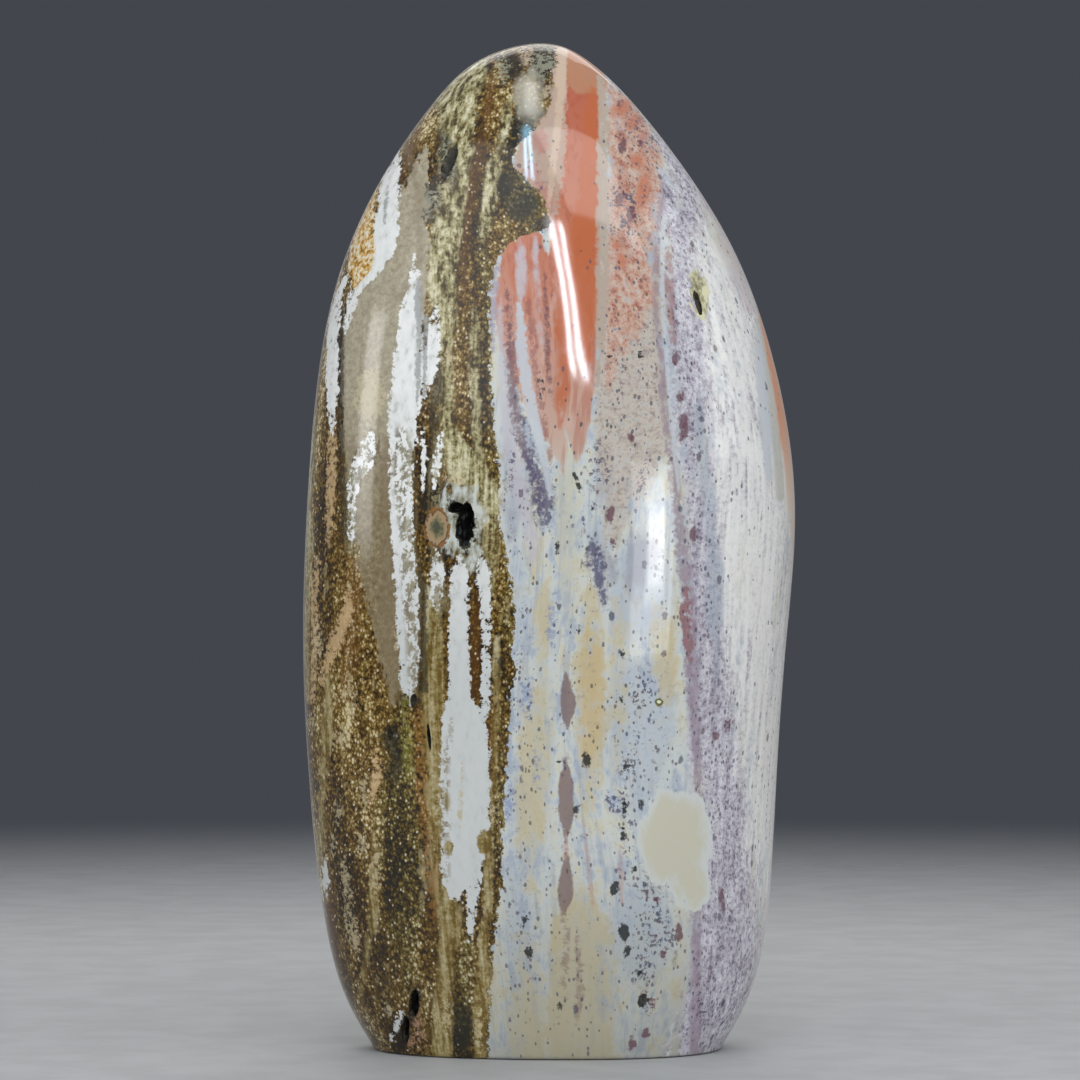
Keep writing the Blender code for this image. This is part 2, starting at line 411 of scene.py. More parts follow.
STREAKS = (
    ("chert", (148, 425, 2), (165, 421, 7), (200, 413, 17), (250, 405, 23), (300, 386, 40), (350, 380, 39),
     (400, 370, 29), (450, 369, 27), (500, 371, 25), (550, 378, 22), (600, 384, 16), (650, 389, 12),
     (704, 396, 5)),
    ("chert_edge", (150, 408, 3), (200, 420, 5), (260, 420, 4), (300, 400, 4)),
    ("chert_edge", (440, 386, 3), (480, 388, 7), (560, 388, 8), (640, 388, 9), (700, 396, 5)),
    ("khaki", (46, 484, 4), (60, 477, 9), (77, 469, 16), (100, 457, 22), (135, 456, 17), (170, 455, 14),
     (200, 450, 15), (240, 444, 17), (288, 443, 14), (330, 446, 9), (380, 446, 8), (430, 449, 7),
     (462, 462, 18), (484, 472, 20), (496, 487, 9), (560, 492, 9), (590, 490, 4)),
    ("khaki", (100, 508, 3), (135, 502, 6), (180, 492, 6), (225, 484, 7), (250, 480, 3)),
    ("khaki", (300, 474, 3), (380, 474, 5), (440, 478, 4), (470, 484, 3)),
    ("khaki", (590, 432, 4), (620, 434, 10), (700, 434, 13), (750, 434, 12), (800, 436, 9), (850, 440, 7),
     (900, 448, 13), (930, 447, 12), (980, 444, 8), (1060, 440, 10)),
    ("khaki", (640, 497, 2), (700, 498, 4), (760, 494, 3), (815, 488, 4), (840, 484, 7), (856, 487, 5),
     (900, 489, 4), (960, 482, 5), (1060, 480, 7)),
    ("khaki", (820, 374, 1), (850, 375, 4), (900, 374, 5), (950, 368, 4), (990, 362, 2)),
    ("khaki", (640, 330, 2), (680, 327, 4), (740, 326, 4), (800, 322, 4), (850, 321, 4), (900, 326, 2)),
    ("khaki", (360, 314, 3), (430, 311, 4), (520, 308, 4), (600, 306, 3), (700, 308, 2)),
    ("white", (148, 399, 1), (164, 396, 5), (176, 391, 9), (203, 388, 11), (229, 387, 13), (255, 382, 10),
     (268, 375, 9), (281, 365, 7), (294, 354, 5), (318, 348, 4), (332, 345, 1)),
    ("white", (276, 346, 1), (292, 339, 4), (330, 333, 6), (380, 332, 6), (418, 332, 4), (434, 332, 1)),
    ("white", (434, 372, 2), (446, 367, 9), (466, 362, 10), (484, 354, 6), (500, 352, 3), (520, 352, 4),
     (540, 351, 2), (547, 351, 1)),
    ("white", (256, 415, 1), (280, 414, 5), (310, 411, 10), (340, 410, 13), (380, 408, 16), (404, 405, 16),
     (425, 403, 14), (460, 402, 12), (500, 400, 11), (540, 403, 11), (600, 407, 11), (650, 409, 10),
     (685, 409, 8), (704, 410, 1)),
    ("white", (306, 436, 1), (330, 434, 6), (360, 431, 8), (380, 428, 6), (398, 425, 1)),
    ("white", (430, 423, 1), (460, 424, 3), (493, 423, 1)),
    ("white", (430, 441, 1), (450, 439, 4), (470, 436, 5), (488, 433, 1)),
    ("white", (556, 460, 2), (575, 459, 9), (600, 459, 10), (650, 459, 10), (700, 460, 12), (720, 464, 22),
     (760, 465, 25), (800, 466, 25), (845, 465, 23), (870, 460, 19), (884, 457, 15), (899, 455, 3)),
    ("white", (840, 479, 7), (870, 475, 7), (905, 472, 5), (925, 471, 4), (941, 469, 1)),
    ("white", (548, 436, 1), (566, 437, 7), (596, 436, 6), (612, 437, 1)),
    ("white", (556, 482, 2), (575, 483, 8), (596, 485, 5), (640, 486, 4), (700, 486, 5), (722, 482, 4)),
    ("white", (858, 324, 1), (878, 325, 4), (899, 325, 1)),
    ("white", (1006, 401, 1), (1020, 399, 4), (1036, 393, 3), (1042, 390, 1)),
    ("white_dots", (430, 402, 6), (450, 404, 11), (485, 405, 12), (540, 408, 9), (600, 411, 9),
     (650, 413, 7), (700, 414, 4)),
    ("white_dots", (430, 440, 6), (470, 438, 9), (495, 434, 6), (560, 436, 6), (610, 444, 10)),
    ("white_dots", (430, 374, 6), (455, 368, 14), (478, 358, 12), (500, 350, 6), (552, 350, 5)),
    ("white_dots", (720, 452, 2), (760, 446, 4), (830, 446, 5), (880, 446, 4)),
    ("grey_core", (186, 388, 1), (202, 386, 2), (224, 384, 1)),
    ("grey_core", (278, 418, 1), (292, 418, 4), (330, 419, 3), (380, 418, 3), (404, 417, 1)),
    ("grey_core", (300, 427, 1), (330, 426, 2), (396, 424, 2)),
    ("dark_line", (296, 341, 1), (330, 341, 3), (420, 341, 3), (480, 342, 4), (540, 344, 3)),
    ("dark_line", (310, 434, 2), (380, 437, 5), (430, 434, 5), (470, 430, 3)),
    ("dark_line", (560, 421, 2), (600, 423, 5), (650, 422, 5), (690, 424, 4)),
    ("amber", (184, 377, 1), (203, 371, 5), (229, 364, 9), (255, 362, 13), (268, 360, 13), (280, 357, 6),
     (288, 354, 2)),
    ("tan", (424, 333, 2), (440, 332, 4), (500, 331, 4), (530, 329, 3), (545, 328, 1)),
    ("tan", (594, 349, 3), (612, 347, 6), (636, 338, 7), (660, 329, 5), (684, 322, 2)),
    ("tan", (560, 404, 2), (600, 409, 6), (640, 412, 5), (660, 412, 2)),
    ("tan", (752, 376, 1), (770, 378, 5), (792, 374, 4), (806, 370, 1)),
    ("tan", (560, 318, 2), (600, 314, 3), (640, 316, 3), (700, 312, 2)),
    ("green", (690, 402, 4), (740, 398, 12), (780, 398, 20), (830, 400, 22), (880, 402, 20), (940, 404, 12),
     (990, 406, 3)),
    ("green", (170, 482, 3), (225, 476, 6), (260, 482, 7), (300, 488, 5), (380, 490, 6), (450, 493, 6),
     (500, 496, 3)),
    ("green", (100, 524, 2), (150, 508, 6), (200, 520, 18), (222, 536, 14), (232, 528, 3)),
    ("green", (545, 506, 3), (600, 509, 5), (700, 507, 5), (780, 502, 4), (860, 498, 4), (920, 494, 3)),
    ("green", (930, 470, 3), (960, 465, 8), (1000, 464, 9), (1060, 462, 9)),
    ("reddish", (560, 352, 3), (590, 354, 8), (640, 352, 8), (700, 346, 4)),
    ("reddish", (130, 420, 2), (150, 410, 6), (176, 402, 2)),
    ("reddish", (600, 478, 2), (620, 475, 5), (690, 474, 4), (706, 473, 2)),
    ("reddish", (880, 330, 1), (920, 330, 5), (960, 334, 5), (990, 342, 2)),
    ("reddish", (700, 490, 1), (740, 490, 3), (800, 488, 3), (830, 482, 2)),
    ("reddish", (80, 494, 2), (140, 482, 5), (200, 470, 6), (250, 462, 5), (300, 464, 3)),
    ("rust", (700, 418, 1), (730, 420, 4), (780, 421, 4), (815, 423, 3), (850, 428, 3), (880, 433, 4),
     (912, 434, 2), (925, 434, 1)),
    ("crevice", (984, 418, 2), (996, 416, 4), (1008, 413, 4), (1020, 408, 4), (1034, 403, 5),
     (1048, 402, 3)),
    ("crevice", (500, 447, 2), (505, 455, 6), (511, 462, 8), (520, 466, 9), (534, 468, 9), (546, 467, 5),
     (550, 466, 2)),
    ("cap_rock", (36, 558, 4), (60, 558, 7), (90, 556, 10), (110, 552, 14), (130, 546, 20), (150, 540, 25),
     (170, 538, 26), (190, 543, 18), (210, 550, 8), (228, 552, 2)),
    ("cream_line", (40, 562, 5), (70, 561, 6), (90, 561, 5), (125, 558, 4), (150, 555, 4), (170, 552, 4),
     (190, 550, 3), (206, 549, 1)),
    ("orange", (42, 574, 3), (57, 579, 12), (75, 583, 18), (100, 582, 19), (125, 580, 20), (150, 579, 22),
     (185, 577, 24), (215, 576, 25), (232, 576, 24), (260, 574, 27), (310, 575, 25), (350, 575, 22),
     (385, 576, 19), (415, 577, 15), (445, 578, 8), (466, 578, 1)),
    ("orange_top", (40, 574, 5), (57, 580, 16), (75, 586, 20), (85, 588, 20), (92, 590, 14)),
    ("deep", (92, 592, 5), (110, 592, 9), (150, 592, 8), (200, 588, 10), (225, 584, 14), (290, 584, 16),
     (330, 585, 12), (360, 588, 4)),
    ("deep", (296, 560, 1), (316, 562, 6), (360, 563, 6), (400, 561, 7), (425, 560, 1)),
    ("deep", (258, 513, 1), (275, 513, 3), (290, 514, 1)),
    ("deep", (285, 528, 1), (300, 529, 4), (316, 530, 1)),
    ("lobe", (226, 530, 2), (234, 526, 14), (250, 525, 22), (300, 524, 31), (350, 530, 30), (390, 540, 22),
     (420, 549, 16), (450, 560, 8), (474, 564, 1)),
    ("lobe_pale", (236, 521, 2), (260, 520, 5), (290, 522, 4), (300, 522, 2)),
    ("lobe_pale", (240, 535, 1), (262, 536, 3), (300, 537, 3), (340, 540, 2)),
    ("lobe_pale", (300, 500, 2), (330, 500, 4), (400, 503, 5), (450, 511, 6), (500, 523, 7), (540, 530, 7),
     (562, 534, 2)),
    ("greige", (78, 600, 3), (100, 603, 5), (160, 603, 6), (300, 602, 6), (345, 600, 4), (385, 597, 1)),
    ("peach", (80, 604, 4), (95, 614, 10), (120, 628, 18), (150, 634, 24), (200, 634, 27), (250, 632, 26),
     (300, 628, 24), (330, 620, 18), (360, 612, 8), (385, 608, 2)),
    ("cream_speckled", (200, 640, 10), (240, 634, 24), (300, 632, 33), (350, 630, 36), (400, 630, 39),
     (440, 632, 37), (480, 626, 26), (520, 616, 12), (540, 610, 3)),
    ("lilac", (100, 650, 4), (130, 664, 10), (160, 680, 18), (200, 684, 22), (250, 686, 20), (300, 688, 22),
     (350, 690, 22), (400, 694, 22), (450, 698, 20), (500, 704, 20), (550, 708, 22), (650, 714, 24),
     (750, 719, 26), (850, 728, 28), (950, 728, 38), (1060, 714, 42)),
    ("lilac", (285, 741, 1), (312, 750, 8), (345, 752, 6), (370, 755, 3), (400, 758, 2)),
    ("lilac", (450, 772, 1), (500, 777, 3), (560, 783, 5), (640, 786, 6), (720, 782, 4)),
    ("pearl", (230, 700, 3), (260, 712, 16), (300, 728, 22), (330, 734, 22), (400, 744, 30), (450, 750, 34),
     (520, 752, 34), (600, 756, 32), (700, 762, 28), (800, 770, 22), (900, 776, 16), (960, 772, 12),
     (1060, 758, 10)),
    ("mauve_edge", (160, 700, 3), (200, 716, 12), (240, 728, 12), (280, 742, 10), (310, 752, 5)),
    ("mauve_edge", (840, 786, 6), (900, 778, 9), (960, 766, 10), (1060, 748, 12)),
    ("blue_band", (470, 708, 2), (520, 712, 7), (580, 714, 8), (640, 716, 5), (690, 718, 2)),
    ("blue_band", (395, 700, 1), (420, 699, 4), (470, 704, 4), (500, 706, 2)),
    ("plum", (185, 663, 1), (204, 662, 3), (220, 659, 3), (244, 657, 3), (285, 656, 3), (320, 656, 3),
     (361, 662, 3), (402, 664, 4), (443, 669, 4), (473, 673, 5), (504, 677, 5), (545, 682, 6),
     (600, 687, 7), (650, 690, 7), (700, 693, 5), (760, 697, 3), (820, 700, 2), (906, 695, 4),
     (1000, 696, 5), (1052, 694, 4)),
    ("mauve_core", (424, 526, 3), (450, 533, 7), (470, 538, 9), (490, 542, 10), (508, 543, 10),
     (526, 544, 4)),
    ("mauve_core", (536, 588, 2), (548, 594, 7), (570, 598, 6), (592, 603, 3), (604, 605, 1)),
    ("red", (228, 668, 1), (260, 668, 4), (310, 670, 4), (340, 673, 3)),
    ("red", (290, 506, 1), (310, 507, 3), (345, 508, 3), (360, 509, 1)),
    ("red", (300, 528, 1), (316, 531, 3), (378, 536, 3), (414, 541, 3), (443, 546, 2), (463, 550, 2)),
    ("red", (585, 686, 2), (610, 686, 6), (640, 688, 6), (660, 690, 2)),
    ("maroon", (292, 508, 1), (320, 510, 3), (360, 511, 5), (400, 515, 5), (430, 520, 6), (460, 529, 5),
     (490, 537, 5), (510, 542, 2)),
    ("maroon", (280, 545, 1), (320, 546, 2), (360, 548, 2), (400, 552, 1)),
    ("pale", (212, 664, 1), (224, 663, 2), (285, 662, 2), (330, 665, 2), (400, 670, 2), (450, 674, 2),
     (490, 679, 1)),
    ("pale", (304, 518, 2), (320, 520, 5), (360, 523, 6), (390, 528, 6), (431, 537, 5), (467, 545, 4),
     (494, 550, 2)),
    ("pale", (330, 757, 1), (345, 759, 4), (400, 763, 6), (443, 767, 6), (480, 769, 3)),
    ("lilac_rim", (255, 500, 1), (275, 494, 5), (320, 492, 4), (350, 492, 2)),
    ("edge_grey", (318, 758, 1), (340, 763, 4), (380, 769, 5), (440, 776, 5), (500, 780, 4)),
    ("edge_orange", (308, 758, 1), (325, 763, 3), (345, 773, 8), (382, 788, 16), (420, 798, 20),
     (460, 806, 22), (500, 808, 20), (545, 806, 14), (600, 804, 8), (680, 800, 3)),
    ("cream_band", (440, 566, 3), (480, 568, 11), (560, 568, 12), (610, 569, 8), (640, 570, 3)),
    ("cream_band", (650, 540, 2), (700, 548, 8), (760, 544, 9), (830, 540, 6), (850, 540, 2)),
    ("cream_band", (880, 552, 3), (930, 560, 9), (1000, 560, 14), (1060, 560, 16)),
    ("pale_band", (716, 702, 1), (735, 688, 7), (765, 674, 9), (792, 660, 5), (800, 655, 1)),
    ("pale_band", (610, 555, 2), (660, 553, 4), (720, 550, 3)),
    ("pale_band", (800, 550, 2), (860, 548, 4), (920, 546, 4), (960, 545, 2)),
    ("cream", (600, 588, 4), (630, 590, 12), (680, 590, 17), (740, 590, 14), (790, 588, 10), (812, 588, 3)),
    ("cream", (588, 541, 3), (610, 541, 9), (640, 541, 8), (662, 541, 2)),
    ("cream", (690, 540, 3), (720, 536, 14), (780, 532, 17), (840, 530, 15), (890, 530, 5)),
    ("cream", (600, 618, 3), (624, 618, 8), (650, 616, 6), (700, 617, 8), (760, 616, 6), (792, 616, 2)),
    ("cream", (610, 660, 4), (640, 663, 10), (665, 664, 12), (685, 664, 9), (700, 663, 2)),
    ("cream", (890, 580, 8), (930, 582, 28), (1000, 582, 33), (1060, 580, 34)),
    ("cream", (930, 526, 6), (1000, 526, 18), (1060, 526, 22)),
    ("yellow", (630, 590, 3), (660, 592, 9), (700, 592, 11), (740, 588, 7), (770, 588, 2)),
    ("yellow_thread", (764, 463, 1), (790, 461, 2), (812, 460, 2), (832, 459, 1)),
    ("lens", (673, 566, 2), (686, 566, 5), (698, 568, 8), (708, 568, 8), (718, 567, 5), (728, 568, 1)),
    ("lens", (759, 565, 1), (772, 566, 5), (785, 566, 8), (805, 566, 8), (820, 566, 7), (832, 566, 3),
     (842, 566, 1)),
    ("lens", (853, 567, 1), (868, 566, 5), (886, 566, 8), (900, 565, 7), (912, 563, 2)),
    ("brown_thread", (930, 577, 1), (960, 579, 3), (990, 580, 4), (1010, 578, 3), (1026, 576, 1)),
    ("brown_thread", (905, 562, 1), (925, 566, 3), (950, 567, 3), (985, 563, 2)),
    ("pink_thread", (822, 583, 1), (850, 587, 2), (880, 590, 2), (905, 593, 1)),
    ("pink_thread", (846, 620, 1), (870, 621, 3), (890, 621, 2), (902, 622, 1)),
    ("pink_thread", (835, 566, 1), (848, 566, 3), (860, 565, 1)),
)

PATCHES = {
    "egg": ((675, 838, 37, 50), (690, 880, 21, 30, 8)),
    "egg_yolk": ((674, 838, 31, 43), (689, 880, 15, 24, 8)),
    "halo": ((461, 520, 23, 36), (472, 560, 12, 16)),
    "cap_dark": (
        (512, 67, 9, 12), (545, 62, 12, 16), (543, 226, 10, 8), (505, 186, 10, 12, 20),
        (522, 207, 18, 12, 35), (447, 158, 8, 26, 12), (434, 196, 8, 12, 20), (428, 215, 5, 8, 20),
        (463, 1030, 10, 22), (413, 700, 7, 9), (390, 737, 8, 11), (396, 760, 5, 20), (500, 668, 4, 8),
        (512, 692, 5, 8), (401, 440, 3, 14), (407, 470, 4, 12), (437, 498, 6, 16), (424, 500, 3, 10),
    ),
    "pink_cap": ((540, 142, 8, 12, 20), (531, 172, 8, 10), (545, 196, 9, 16, 20), (549, 222, 6, 9)),
    # Painted glints: pale glitter on the dark crystals of the cap
    "cap_painted_glints": ((543, 64, 9, 11), (449, 160, 4, 9, 10), (432, 203, 4, 6), (503, 66, 3, 10, 5)),
    "cap_grey": ((530, 96, 14, 26), (536, 110, 10, 16)),
    "cap_cream": ((552, 91, 7, 7), (526, 56, 6, 8), (540, 150, 8, 18)),
    "blue_cloud": (
        (521, 628, 11, 32), (526, 696, 8, 18), (552, 625, 3, 18), (537, 768, 4, 12), (515, 800, 12, 24),
        (618, 803, 9, 12, 30), (512, 520, 8, 26), (516, 570, 9, 22), (640, 720, 34, 60), (650, 800, 20, 50),
        (520, 930, 14, 40), (640, 930, 30, 50), (640, 590, 30, 50), (515, 880, 8, 30),
    ),
    "blue_deep": (
        (526, 697, 5, 13), (552, 622, 2.5, 14), (537, 768, 3, 10), (616, 803, 6, 9, 35), (508, 800, 4, 14),
    ),
    "grey_cloud": (
        (612, 480, 16, 34), (600, 555, 10, 30, 10), (640, 560, 14, 30), (646, 470, 8, 20),
        (510, 430, 6, 34, -6), (516, 500, 6, 26, -8),
    ),
    "blotch": (
        (622, 108, 12, 7, 30), (634, 122, 9, 6, 40), (637, 161, 6, 7), (644, 136, 5, 5),
        (643, 192, 6, 18, -8), (622, 261, 5, 7), (617, 245, 4, 5),
    ),
    "plum_spot": (
        (623, 144, 4, 9, -8), (620, 199, 5, 9, -20), (631, 217, 4, 12, -12), (641, 143, 3, 5),
        (715, 735, 4, 6), (727, 726, 3, 8, -8), (632, 1044, 4, 7), (646, 1034, 4, 5), (675, 357, 3, 7),
        (680, 396, 4, 7), (684, 428, 5, 14, -6), (722, 902, 3, 11, 4), (610, 514, 5, 9, -12),
        (631, 438, 3, 5, 20), (645, 352, 3, 4), (693, 535, 4, 7), (612, 545, 3, 6), (679, 932, 4, 9),
        (620, 104, 3, 5), (656, 900, 5, 4), (654, 938, 4, 4), (662, 955, 4, 4), (650, 1002, 5, 4, 30),
    ),
    "dark_spot": (
        (579, 487, 2.5, 6, 5), (593, 507, 3, 4), (586, 761, 4, 8), (558, 761, 3, 3), (577, 809, 3, 5, -10),
        (621, 699, 3, 5), (626, 767, 3, 6, -20), (641, 804, 3, 5), (624, 810, 2.5, 7), (623, 834, 3, 6),
        (524, 923, 3.5, 6, -15), (529, 953, 4, 6, 20), (532, 978, 3.5, 5, -30), (615, 888, 4, 8, -10),
        (624, 932, 5, 8), (627, 952, 3, 6, -15), (638, 973, 3.5, 4, 30), (644, 1002, 6, 7),
        (635, 868, 3, 3), (559, 1006, 3, 4), (641, 354, 3, 4, -20), (626, 367, 2.5, 4), (609, 357, 2.5, 3),
        (579, 629, 3, 5, 10), (622, 654, 3, 4), (539, 377, 2, 6, -8), (542, 392, 2, 7, -8),
        (461, 760, 2, 2.5), (456, 812, 2, 2.5), (463, 757, 2, 3), (358, 340, 2.5, 4), (356, 387, 2.5, 5),
        (374, 378, 2, 2), (406, 399, 4, 5), (557, 548, 2.5, 6), (575, 476, 2, 5, 20),
    ),
    # Pale spots in the brown rock, and one broad painted highlight: the soft glow on the left flank at
    # (370, 396)
    "pale_spots_and_painted_glow": (
        (343, 737, 5, 9), (364, 790, 3, 11), (362, 842, 3, 8), (446, 359, 6, 7), (473, 382, 4, 8),
        (311, 722, 3, 7), (333, 845, 3, 6), (338, 812, 2, 8), (388, 1010, 3, 5), (370, 396, 14, 26),
        (492, 812, 4, 5), (455, 480, 9, 6), (442, 187, 3, 4), (440, 198, 3, 4), (439, 806, 3, 8),
        (447, 1016, 3, 10), (479, 1030, 3, 12), (318, 640, 3, 12), (352, 700, 3, 12), (346, 880, 3, 14, 8),
        (352, 930, 4, 16, 14), (376, 870, 3, 16), (400, 640, 4, 10),
    ),
    "cluster": (
        (657, 905, 12, 18), (661, 938, 15, 24, 10), (646, 968, 9, 16), (648, 1004, 12, 12, 20),
        (638, 880, 10, 16), (617, 800, 10, 14, 30), (626, 770, 9, 24), (704, 1000, 10, 24),
        (600, 470, 14, 30, 10), (645, 690, 14, 20), (660, 924, 12, 20), (643, 130, 14, 26, 20),
        (622, 210, 14, 34), (640, 480, 10, 24), (512, 455, 5, 30, -8),
    ),
    "bump": ((485, 842, 9, 12), (447, 801, 3, 9), (449, 848, 5, 8), (488, 902, 5, 9)),
    "eye": ((436.5, 527.5, 13, 20),),
    "ring": ((659, 702, 5, 5),),
    "pocket": ((699, 294, 9, 24, 10),),
    "lime": ((408, 748, 5, 26, 4), (408, 702, 5, 6)),
    "peach_lip": ((416, 1022, 4, 16, 12), (410, 1038, 5, 7)),
}

# Where dark specks are dense, as patches with the density in their middle
SPECKLED = (
    (636, 190, 30, 120, 0.9), (628, 370, 44, 100, 0.85), (688, 270, 26, 150, 1.0), (696, 420, 22, 120, 1.0),
    (700, 600, 22, 120, 0.9), (716, 800, 26, 160, 1.0), (648, 930, 30, 56, 1.3), (640, 740, 40, 120, 0.9),
    (714, 985, 36, 90, 0.85), (600, 540, 44, 70, 0.6), (745, 300, 16, 110, 0.3), (520, 700, 22, 200, 0.8),
    (516, 930, 30, 120, 0.8), (766, 800, 26, 240, 0.3), (746, 480, 30, 160, 0.2), (570, 760, 50, 240, 0.45),
    (540, 180, 18, 50, 0.7), (506, 520, 18, 70, 0.7), (570, 990, 60, 70, 0.4), (628, 840, 16, 60, 1.1),
    (614, 330, 12, 90, 0.9), (736, 990, 30, 60, 0.9), (660, 560, 20, 60, 0.7),
)


def smoothed(rows, column):
    """A table over pixel rows of one column of a streak, with its corners rounded."""
    rows = np.array(rows, float)
    at = np.arange(*ALL_ROWS)
    values = np.interp(at, rows[:, 0], rows[:, column])
    window = np.hanning(ROUNDING)
    padded = np.pad(values, ROUNDING // 2, mode="edge")
    return at, np.convolve(padded, window / window.sum(), mode="valid")


def streak_field(rows, s, t):
    """How far inside a streak the points are, in pixels near its edges."""
    middle = np.interp(t, *smoothed(rows, 1))
    half = np.interp(t, *smoothed(rows, 2))
    across = (half**2 - (s - middle) ** 2) / (2 * half)
    ends = np.minimum(t - rows[0][0], rows[-1][0] - t) + STREAK_END
    return np.maximum(np.minimum(across, ends), FAR_STREAK)


def patch_share(patch, s, t):
    """Distances from the middle of a patch as shares of its size."""
    x, y, wide, high, lean = (*patch, 0)[:5]
    c, d = math.cos(math.radians(lean)), math.sin(math.radians(lean))
    across = c * (s - x) - d * (t - y)
    along = d * (s - x) + c * (t - y)
    return np.hypot(across / wide, along / high)


def patch_field(patch, s, t):
    """How far inside a patch the points are, in pixels near its edges."""
    inside = np.maximum(1 - patch_share(patch, s, t) ** 2, FAR_PATCH)
    return inside * min(patch[2:4]) / 2


def mesh_points(mesh):
    """The places of a mesh's vertices, a row each."""
    points = np.empty(len(mesh.vertices) * 3)
    mesh.vertices.foreach_get("co", points)
    return points.reshape(-1, 3)


def layer_places(points, skin):
    """Each point's place in the rock, as a pixel column, a pixel row and the depth behind
    the visible face in pixels."""
    eye = np.array(CAMERA_PLACE)
    away = points - eye
    distance = np.linalg.norm(away, axis=1)
    rays = away / distance[:, None]
    reached = [skin.ray_cast(CAMERA_PLACE, Vector(ray))[3] for ray in rays]
    first = np.array([d if r is None else r for r, d in zip(reached, distance)])
    depth = np.maximum(0, distance - first - SKIN) / PIXEL
    flat = eye + away * (-eye[1] / away[:, 1])[:, None]
    s = FOOT_PIXEL[0] + flat[:, 0] / PIXEL
    t = FOOT_PIXEL[1] - flat[:, 2] / PIXEL
    waves = sum(
        size * np.sin(t / down + depth / back + start)
        for size, down, back, start in LAYER_WAVES
    )
    gone = np.minimum(1, depth / WANDER_DEPTH)
    return s + LAYER_LEAN * depth + LAYER_WANDER * gone * waves, t, depth


def rock_fields(s, t, depth):
    """Every rock type's field over the points, in pixels, positive inside."""
    edge = np.array(BROWN_EDGE, float)
    found = {"brown": np.interp(t, edge[:, 0], edge[:, 1]) - s}
    for name, *rows in STREAKS:
        inside = streak_field(rows, s, t)
        found[name] = np.maximum(found.get(name, inside), inside)
    for name, patches in PATCHES.items():
        inside = np.max([patch_field(patch, s, t) for patch in patches], axis=0)
        found[name] = inside - np.maximum(0, depth - PATCH_DEPTH) * PATCH_TAPER
    for name in ("eye", "ring"):
        share = patch_share(PATCHES[name][0], s, t)
        found[name + "_share"] = np.minimum(share, FAR_SHARE)
    found["specks"] = np.zeros(len(s))
    for *spot, dense in SPECKLED:
        here = dense * np.exp(-SPECK_FALL * patch_share(spot, s, t) ** 2)
        found["specks"] = np.maximum(found["specks"], here)
    return found


def cloud(points, shift, scale, upright):
    """Soft noise around 0.5 over the points, stretched to run up and down."""
    spots = (points + shift) * (scale, scale, scale * upright)
    sums = [noise.fractal(Vector(spot), *CLOUD_NOISE) for spot in spots]
    return 0.5 + CLOUD_CONTRAST * np.array(sums)


def all_fields(points, skin):
    """Every field that the material may read, by its name."""
    s, t, depth = layer_places(points, skin)
    found = rock_fields(s, t, depth)
    found["row"] = t
    found["sunk"] = np.array([skin.find_nearest(Vector(p))[3] for p in points]) / PIXEL
    for name, settings in CLOUDS.items():
        found[name] = cloud(points, *settings)
    return found


def add_attribute(mesh, name, columns):
    """Stores three columns of values as a vector at each point of the mesh."""
    layer = mesh.attributes.new(name, "FLOAT_VECTOR", "POINT")
    layer.data.foreach_set("vector", np.stack(columns, 1).astype(np.float32).ravel())


def add_fields(mesh, skin, packs):
    """Stores the fields that the material reads, three to an attribute, and a gently
    warped place that its finer noises read."""
    points = mesh_points(mesh)
    x, y, z = points.T
    found = all_fields(points, skin)
    for i, names in enumerate(packs):
        columns = [found[name] for name in names]
        columns += [0 * x] * (3 - len(columns))
        add_attribute(mesh, "rock_%d" % i, columns)
    size, down, back = SWAY
    sway = size * np.sin(z / down + y / back)
    size, down, across = FINE_SWAY
    sway += size * np.sin(z / down + x / across)
    add_attribute(mesh, "place", [x + sway, y + SWAY_BACK * sway, z])


def colour(code):
    """Linear red, green, blue and alpha of a colour written as on the web."""
    parts = [int(code[i : i + 2], 16) / 255 for i in (0, 2, 4)]
    linear = [p / 12.92 if p < 0.04045 else ((p + 0.055) / 1.055) ** 2.4 for p in parts]
    return (*linear, 1.0)


def add_node(tree, kind, inputs, **settings):
    """A shader node whose inputs are linked to sockets or set to values."""
    made = tree.nodes.new("ShaderNode" + kind)
    for name, value in settings.items():
        setattr(made, name, value)
    for key, value in inputs.items():
        if isinstance(value, bpy.types.NodeSocket):
            tree.links.new(value, made.inputs[key])
        else:
            made.inputs[key].default_value = value
    return made


# How much of the coarse and of the fine noise goes into a blend
COARSE_SHARE = 0.75
FINE_SHARE = 0.4


